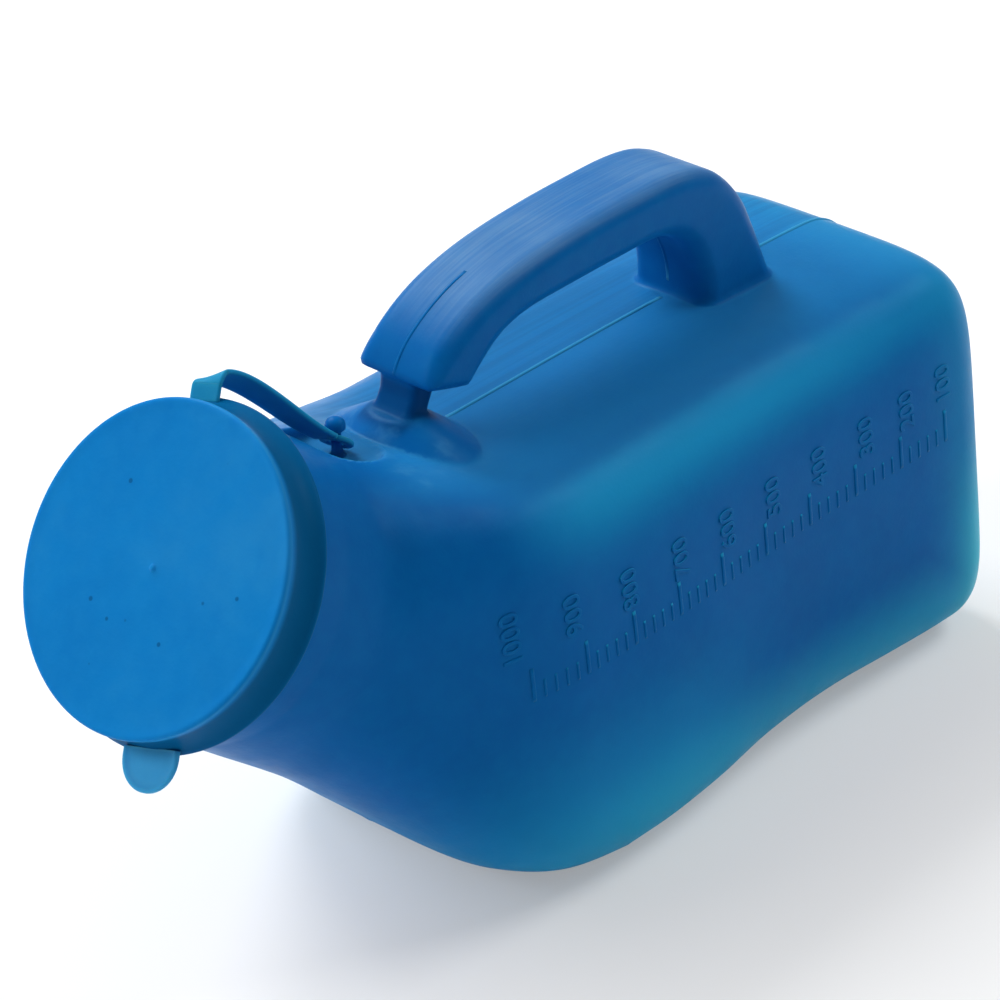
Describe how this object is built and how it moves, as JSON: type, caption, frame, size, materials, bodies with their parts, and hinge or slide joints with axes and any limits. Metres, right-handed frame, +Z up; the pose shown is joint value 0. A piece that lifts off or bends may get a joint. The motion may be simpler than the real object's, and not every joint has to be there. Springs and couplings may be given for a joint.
{
  "type": "urine bottle",
  "caption": "Blue plastic male urine bottle with a carrying handle, graduated side and a snap lid held by a strap over its tilted mouth.",
  "frame": {"origin": "centre of the bottle's outline, on the surface it lies on", "axes": "+X towards the flat base end, mouth towards -X, +Z up through the handle, +Y to the side without the scale"},
  "size_m": [0.2276, 0.0906, 0.1265],
  "materials": {
    "bottle_plastic": "satin, slightly translucent",
    "scale_relief": "satin, slightly translucent",
    "lid_plastic": "satin",
    "strap_plastic": "satin, translucent where thin"
  },
  "bodies": {
    "bottle": {"bottle_shell": "bottle_plastic", "handle_grip": "bottle_plastic", "handle_boss": "bottle_plastic", "strap_peg": "bottle_plastic", "graduation_lines": "scale_relief", "strap_ribbon": "strap_plastic", "strap_eyelet": "strap_plastic"},
    "strap_link": {"strap_bend": "strap_plastic"},
    "lid": {"lid": "lid_plastic"},
    "pull_tab": {"pull_tab": "strap_plastic"}
  },
  "joints": [
    {"name": "strap_bend", "type": "hinge", "parent": "bottle", "child": "strap_link", "pos_m": [-0.06304, 0.01066, 0.12064], "axis": [-0.1563, 0.9627, -0.2209], "range_deg": [0, 48]},
    {"name": "lid_open", "type": "hinge", "parent": "strap_link", "child": "lid", "pos_m": [-0.06842, 0.00977, 0.12058], "axis": [-0.1563, 0.9627, -0.2209], "range_deg": [0, 60]},
    {"name": "tab_flex", "type": "hinge", "parent": "lid", "child": "pull_tab", "pos_m": [-0.10837, -0.00967, 0.06412], "axis": [-0.1563, 0.9627, -0.2209], "range_deg": [-15, 60]}
  ],
  "couplings": [
    {"joint": "strap_bend", "follows": "lid_open", "ratio": 0.8}
  ]
}
